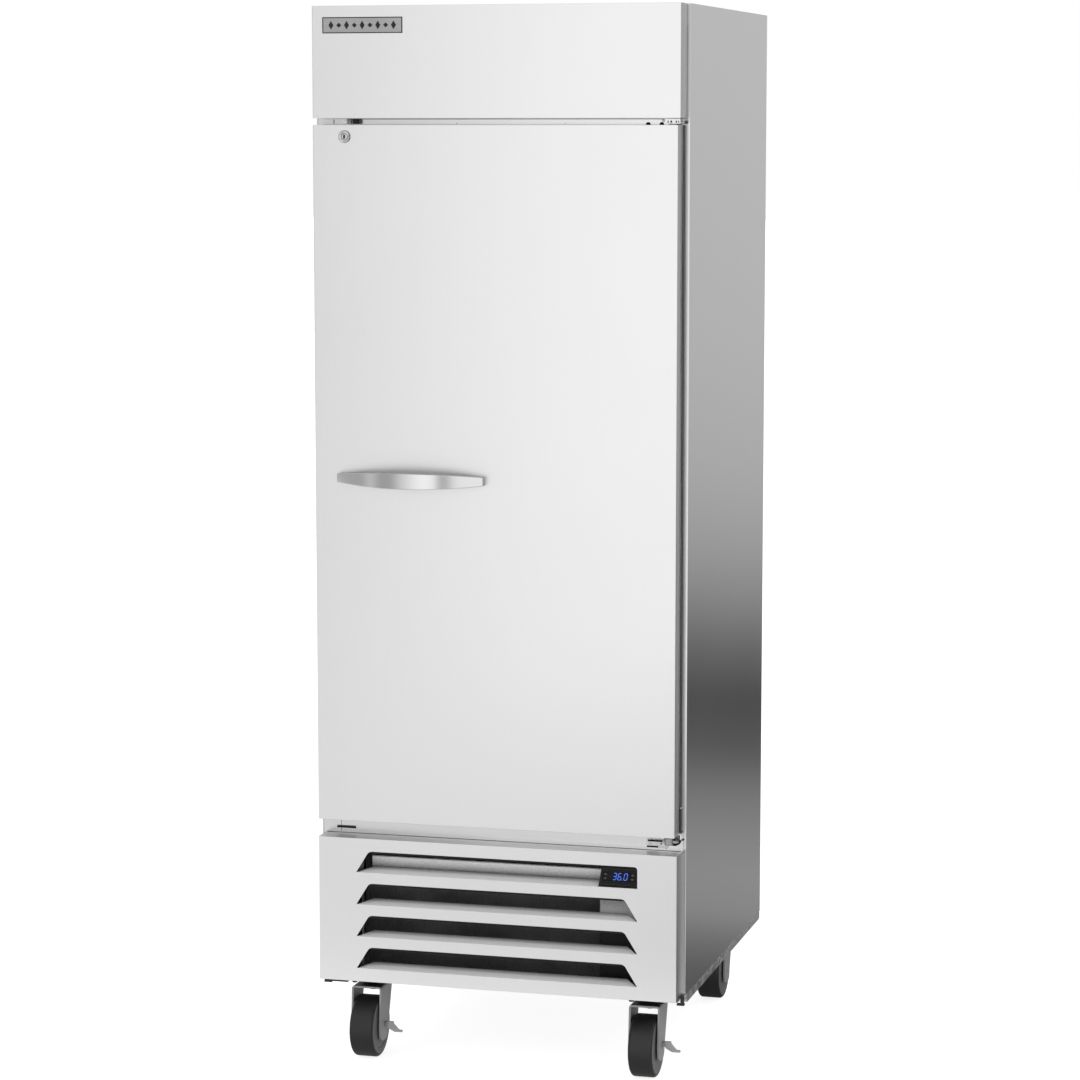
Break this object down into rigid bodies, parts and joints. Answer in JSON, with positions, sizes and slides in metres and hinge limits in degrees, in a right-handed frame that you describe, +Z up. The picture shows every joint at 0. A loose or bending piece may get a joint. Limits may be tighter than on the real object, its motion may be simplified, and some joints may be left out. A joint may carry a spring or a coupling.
{
  "type": "reach-in refrigerator",
  "caption": "Upright single-door reach-in refrigerator in stainless steel, with an arched pull handle, key lock, louvred lower grille, digital thermostat and swivel casters.",
  "frame": {"origin": "on the floor, under the centre of the bounding box, handle included", "axes": "+X to the right as seen from the front, +Y to the back, +Z up"},
  "size_m": [0.762, 0.862, 2.142],
  "materials": {
    "stainless_front": "brushed, grain upright",
    "stainless_side": "brushed, grain upright",
    "zinc_sheet": "galvanised",
    "insulation": "rigid foam, matte",
    "stainless_inner": "satin",
    "zinc_hardware": "zinc plated",
    "nameplate": "brushed, dark border",
    "handle_metal": "satin",
    "lock_metal": "polished",
    "wheel_tread": "satin",
    "black_plastic": "matte",
    "key_plastic": "matte",
    "display": "gloss",
    "gasket": "matte",
    "coated_wire": "coated",
    "evaporator_metal": "satin",
    "condenser_metal": "black coated",
    "black_enamel": "satin",
    "drain_plastic": "matte",
    "copper": "copper, satin",
    "lamp": "frosted"
  },
  "bodies": {
    "cabinet": {"back_panel": "zinc_sheet", "base_frame": "zinc_sheet", "bottom_hinge": "zinc_hardware", "cabinet_foam": "insulation", "caster_plates": "zinc_hardware", "compressor": "black_enamel", "condenser_coil": "condenser_metal", "condenser_shroud": "condenser_metal", "control_display": "display", "control_housing": "black_plastic", "cord_gland": "black_plastic", "door_switch": "black_plastic", "drain_pan": "drain_plastic", "evaporator_coil": "evaporator_metal", "evaporator_cover": "evaporator_metal", "fan_motors": "black_enamel", "front_frame": "stainless_front", "front_grille": "stainless_front", "header_panel": "stainless_front", "inner_liner": "stainless_inner", "interior_lamp": "lamp", "lock_strike": "zinc_hardware", "nameplate": "nameplate", "panel_screws": "zinc_hardware", "rear_guard": "zinc_sheet", "refrigerant_lines": "copper", "shelf_clips": "zinc_hardware", "shelf_uprights": "zinc_hardware", "side_panel_left": "stainless_side", "side_panel_right": "stainless_side", "top_hinge": "zinc_hardware", "top_panel": "zinc_sheet"},
    "door": {"door_skin": "stainless_front", "door_foam": "insulation", "door_liner": "stainless_inner", "door_gasket": "gasket", "door_bushes": "zinc_hardware", "door_handle": "handle_metal", "lock_barrel": "lock_metal"},
    "lock_plug": {"lock_plug": "lock_metal", "lock_cam": "lock_metal"},
    "condenser_fan": {"condenser_fan": "black_plastic"},
    "evaporator_fan": {"evaporator_fan": "black_plastic"},
    "lower_shelf": {"lower_shelf": "coated_wire"},
    "middle_shelf": {"middle_shelf": "coated_wire"},
    "upper_shelf": {"upper_shelf": "coated_wire"},
    "key_set": {"key_set": "key_plastic"},
    "key_defrost": {"key_defrost": "key_plastic"},
    "key_down": {"key_down": "key_plastic"},
    "key_up": {"key_up": "key_plastic"},
    "front_left_caster": {"front_left_fork": "zinc_hardware"},
    "front_left_wheel": {"front_left_wheel": "wheel_tread"},
    "front_left_brake": {"front_left_brake": "zinc_hardware"},
    "front_right_caster": {"front_right_fork": "zinc_hardware"},
    "front_right_wheel": {"front_right_wheel": "wheel_tread"},
    "front_right_brake": {"front_right_brake": "zinc_hardware"},
    "rear_left_caster": {"rear_left_fork": "zinc_hardware"},
    "rear_left_wheel": {"rear_left_wheel": "wheel_tread"},
    "rear_right_caster": {"rear_right_fork": "zinc_hardware"},
    "rear_right_wheel": {"rear_right_wheel": "wheel_tread"}
  },
  "joints": [
    {"name": "door_swing", "type": "hinge", "parent": "cabinet", "child": "door", "pos_m": [0.352, -0.354, 1.21], "axis": [0, 0, 1], "range_deg": [0, 115]},
    {"name": "lock_turn", "type": "hinge", "parent": "door", "child": "lock_plug", "pos_m": [-0.307, -0.375, 1.886], "axis": [0, 1, 0], "range_deg": [0, 90]},
    {"name": "condenser_fan_spin", "type": "hinge", "parent": "cabinet", "child": "condenser_fan", "pos_m": [-0.045, -0.21, 0.318], "axis": [0, 1, 0], "continuous": true},
    {"name": "evaporator_fan_spin", "type": "hinge", "parent": "cabinet", "child": "evaporator_fan", "pos_m": [0, -0.12, 1.9885], "axis": [0, 1, 0], "continuous": true},
    {"name": "lower_shelf_lift", "type": "slide", "parent": "cabinet", "child": "lower_shelf", "axis": [0, 0, 1], "range_m": [0, 0.012]},
    {"name": "middle_shelf_lift", "type": "slide", "parent": "cabinet", "child": "middle_shelf", "axis": [0, 0, 1], "range_m": [0, 0.012]},
    {"name": "upper_shelf_lift", "type": "slide", "parent": "cabinet", "child": "upper_shelf", "axis": [0, 0, 1], "range_m": [0, 0.012]},
    {"name": "key_set_press", "type": "slide", "parent": "cabinet", "child": "key_set", "axis": [0, 1, 0], "range_m": [0, 0.0008], "stiffness_N_per_m": 400},
    {"name": "key_defrost_press", "type": "slide", "parent": "cabinet", "child": "key_defrost", "axis": [0, 1, 0], "range_m": [0, 0.0008], "stiffness_N_per_m": 400},
    {"name": "key_down_press", "type": "slide", "parent": "cabinet", "child": "key_down", "axis": [0, 1, 0], "range_m": [0, 0.0008], "stiffness_N_per_m": 400},
    {"name": "key_up_press", "type": "slide", "parent": "cabinet", "child": "key_up", "axis": [0, 1, 0], "range_m": [0, 0.0008], "stiffness_N_per_m": 400},
    {"name": "front_left_swivel", "type": "hinge", "parent": "cabinet", "child": "front_left_caster", "pos_m": [-0.2935, -0.26, 0.15], "axis": [0, 0, 1], "continuous": true},
    {"name": "front_left_roll", "type": "hinge", "parent": "front_left_caster", "child": "front_left_wheel", "pos_m": [-0.2935, -0.292, 0.0635], "axis": [1, 0, 0], "continuous": true},
    {"name": "front_left_brake_press", "type": "hinge", "parent": "front_left_caster", "child": "front_left_brake", "pos_m": [-0.2569, -0.289, 0.068], "axis": [0, 1, 0], "range_deg": [0, 12]},
    {"name": "front_right_swivel", "type": "hinge", "parent": "cabinet", "child": "front_right_caster", "pos_m": [0.2935, -0.26, 0.15], "axis": [0, 0, 1], "continuous": true},
    {"name": "front_right_roll", "type": "hinge", "parent": "front_right_caster", "child": "front_right_wheel", "pos_m": [0.2935, -0.292, 0.0635], "axis": [1, 0, 0], "continuous": true},
    {"name": "front_right_brake_press", "type": "hinge", "parent": "front_right_caster", "child": "front_right_brake", "pos_m": [0.3301, -0.289, 0.068], "axis": [0, 1, 0], "range_deg": [0, 12]},
    {"name": "rear_left_swivel", "type": "hinge", "parent": "cabinet", "child": "rear_left_caster", "pos_m": [-0.2935, 0.381, 0.15], "axis": [0, 0, 1], "continuous": true},
    {"name": "rear_left_roll", "type": "hinge", "parent": "rear_left_caster", "child": "rear_left_wheel", "pos_m": [-0.2935, 0.349, 0.0635], "axis": [1, 0, 0], "continuous": true},
    {"name": "rear_right_swivel", "type": "hinge", "parent": "cabinet", "child": "rear_right_caster", "pos_m": [0.2935, 0.381, 0.15], "axis": [0, 0, 1], "continuous": true},
    {"name": "rear_right_roll", "type": "hinge", "parent": "rear_right_caster", "child": "rear_right_wheel", "pos_m": [0.2935, 0.349, 0.0635], "axis": [1, 0, 0], "continuous": true}
  ]
}
